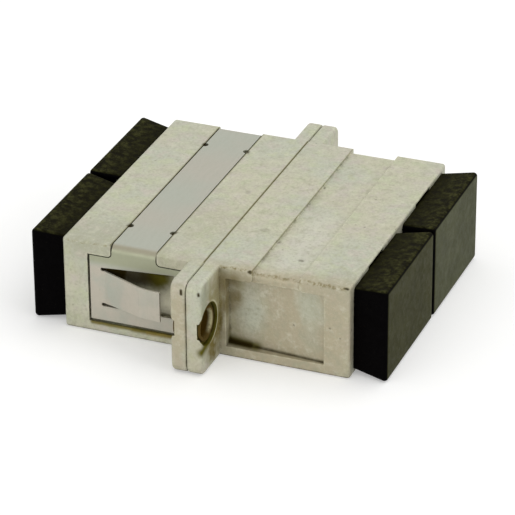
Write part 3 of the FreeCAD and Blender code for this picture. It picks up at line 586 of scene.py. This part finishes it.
def moulded(name, color, roughness):
    g = Graph(name)
    cloud = g.noise(0.8, 4.0)
    darker = tuple(0.86 * c for c in color[:3]) + (1.0,)
    g.set(g.surface.inputs["Base Color"], g.mix(g.ramp(cloud, 0.35, 0.65), color, darker))
    g.set(g.surface.inputs["Roughness"],
          g.ramp(cloud, 0.3, 0.7, roughness - 0.05, roughness + 0.05))
    g.bumps(MOULDED_EDGE, (g.noise(4.0, 3.0), MOULDED_HEIGHT))
    return g.material


def dress_cad_nodes():
    """Give each CAD node its procedural material."""
    looks = {
        "housing": cast_zinc(),
        "panel_clip": spring_sheet(),
        "flange_rivet": rivet_metal(),
        "dust_cap": cap_plastic(),
        "latch_holder": moulded("holder_plastic", HOLDER, 0.45),
        "alignment_sleeve": moulded("zirconia", ZIRCONIA, 0.18),
    }
    for name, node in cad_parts.items():
        look = next(material for start, material in looks.items() if name.startswith(start))
        node.data.materials.clear()
        node.data.materials.append(look)
        if name.startswith("flange_rivet"):
            make_rivet(name, look)


def make_rivet(node, metal):
    """Turn a rolled tubular rivet about its own axis, to stand for the plain CAD rivet."""
    low, high = (Vector(corner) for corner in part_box(node))
    middle = (low + high) / 2
    outline = RIVET_HALF + tuple((-x, r) for x, r in reversed(RIVET_HALF[1:-1]))
    form = bmesh.new()
    rings = []
    for x, r in outline:
        turns = (2 * math.pi * step / RIVET_STEPS for step in range(RIVET_STEPS))
        ring = (Vector((x, r * math.cos(turn), r * math.sin(turn))) * MM for turn in turns)
        rings.append([form.verts.new(middle + point) for point in ring])
    for first, second in zip(rings, rings[1:] + rings[:1]):
        for step in range(RIVET_STEPS):
            after = (step + 1) % RIVET_STEPS
            form.faces.new((first[step], second[step], second[after], first[after])).smooth = True
    bmesh.ops.recalc_face_normals(form, faces=form.faces)
    mesh = bpy.data.meshes.new(f"rolled_{node}")
    form.to_mesh(mesh)
    form.free()
    mesh.materials.append(metal)
    rivet = bpy.data.objects.new(mesh.name, mesh)
    bpy.context.scene.collection.objects.link(rivet)
    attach(rivet, "adapter")
    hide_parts(node)


def make_floor():
    floor_mesh = bpy.data.meshes.new("studio_floor")
    half = FLOOR_SIZE / 2
    floor_mesh.from_pydata([(x * half, y * half, -FLOOR_DROP)
                            for x, y in ((-1, -1), (1, -1), (1, 1), (-1, 1))], [], [(0, 1, 2, 3)])
    floor = bpy.data.objects.new("studio_floor", floor_mesh)
    bpy.context.scene.collection.objects.link(floor)
    g = Graph("pale_floor")
    path = g.node("ShaderNodeLightPath")
    seen = g.math("MAXIMUM", path.outputs["Is Camera Ray"],
                  g.math("MAXIMUM", path.outputs["Is Glossy Ray"],
                         path.outputs["Is Transmission Ray"]))
    g.surface.inputs["Base Color"].default_value = FLOOR_COLOR
    g.surface.inputs["Roughness"].default_value = 0.9
    g.surface.inputs["Specular IOR Level"].default_value = 0.0
    g.surface.inputs["Emission Color"].default_value = WHITE
    g.set(g.surface.inputs["Emission Strength"], g.math("MULTIPLY", seen, FLOOR_WHITE))
    floor_mesh.materials.append(g.material)


def make_world():
    world = bpy.data.worlds.new("studio")
    bpy.context.scene.world = world
    world.use_nodes = True
    nodes, links = world.node_tree.nodes, world.node_tree.links
    nodes.clear()
    output = nodes.new("ShaderNodeOutputWorld")
    path = nodes.new("ShaderNodeLightPath")
    lit = nodes.new("ShaderNodeBackground")
    lit.inputs["Color"].default_value = WHITE
    lit.inputs["Strength"].default_value = WORLD_LEVEL
    seen = nodes.new("ShaderNodeBackground")
    seen.inputs["Color"].default_value = WHITE
    seen.inputs["Strength"].default_value = 1.0
    either = path.outputs["Is Camera Ray"]
    for ray in ("Is Glossy Ray", "Is Transmission Ray"):
        most = nodes.new("ShaderNodeMath")
        most.operation = "MAXIMUM"
        links.new(either, most.inputs[0])
        links.new(path.outputs[ray], most.inputs[1])
        either = most.outputs[0]
    mixed = nodes.new("ShaderNodeMixShader")
    links.new(either, mixed.inputs[0])
    links.new(lit.outputs[0], mixed.inputs[1])
    links.new(seen.outputs[0], mixed.inputs[2])
    links.new(mixed.outputs[0], output.inputs["Surface"])


def make_lamp(name, place, size, power):
    lamp = bpy.data.lights.new(name, "AREA")
    lamp.shape = "RECTANGLE"
    lamp.size, lamp.size_y = size
    lamp.energy = power
    holder = bpy.data.objects.new(name, lamp)
    holder.location = place
    holder.rotation_mode = "QUATERNION"
    holder.rotation_quaternion = (-Vector(place)).to_track_quat("-Z", "Y")
    bpy.context.scene.collection.objects.link(holder)


def make_camera():
    data = bpy.data.cameras.new("camera")
    data.lens = CAMERA_LENS
    data.clip_start, data.clip_end = 0.01, 20.0
    camera = bpy.data.objects.new("camera", data)
    a, e = CAMERA_AZIMUTH, CAMERA_ELEVATION
    back = Vector((math.sin(a) * math.cos(e), -math.cos(a) * math.cos(e), math.sin(e)))
    turn = (-back).to_track_quat("-Z", "Y").to_matrix() @ Matrix.Rotation(CAMERA_ROLL, 3, "Z")
    camera.matrix_world = Matrix.Translation(CAMERA_AIM + back * CAMERA_DISTANCE) @ turn.to_4x4()
    bpy.context.scene.collection.objects.link(camera)
    bpy.context.scene.camera = camera


make_camera()
make_floor()
make_world()
for lamp in LAMPS:
    make_lamp(*lamp)
dress_cad_nodes()
bpy.context.scene.view_settings.view_transform = "Standard"
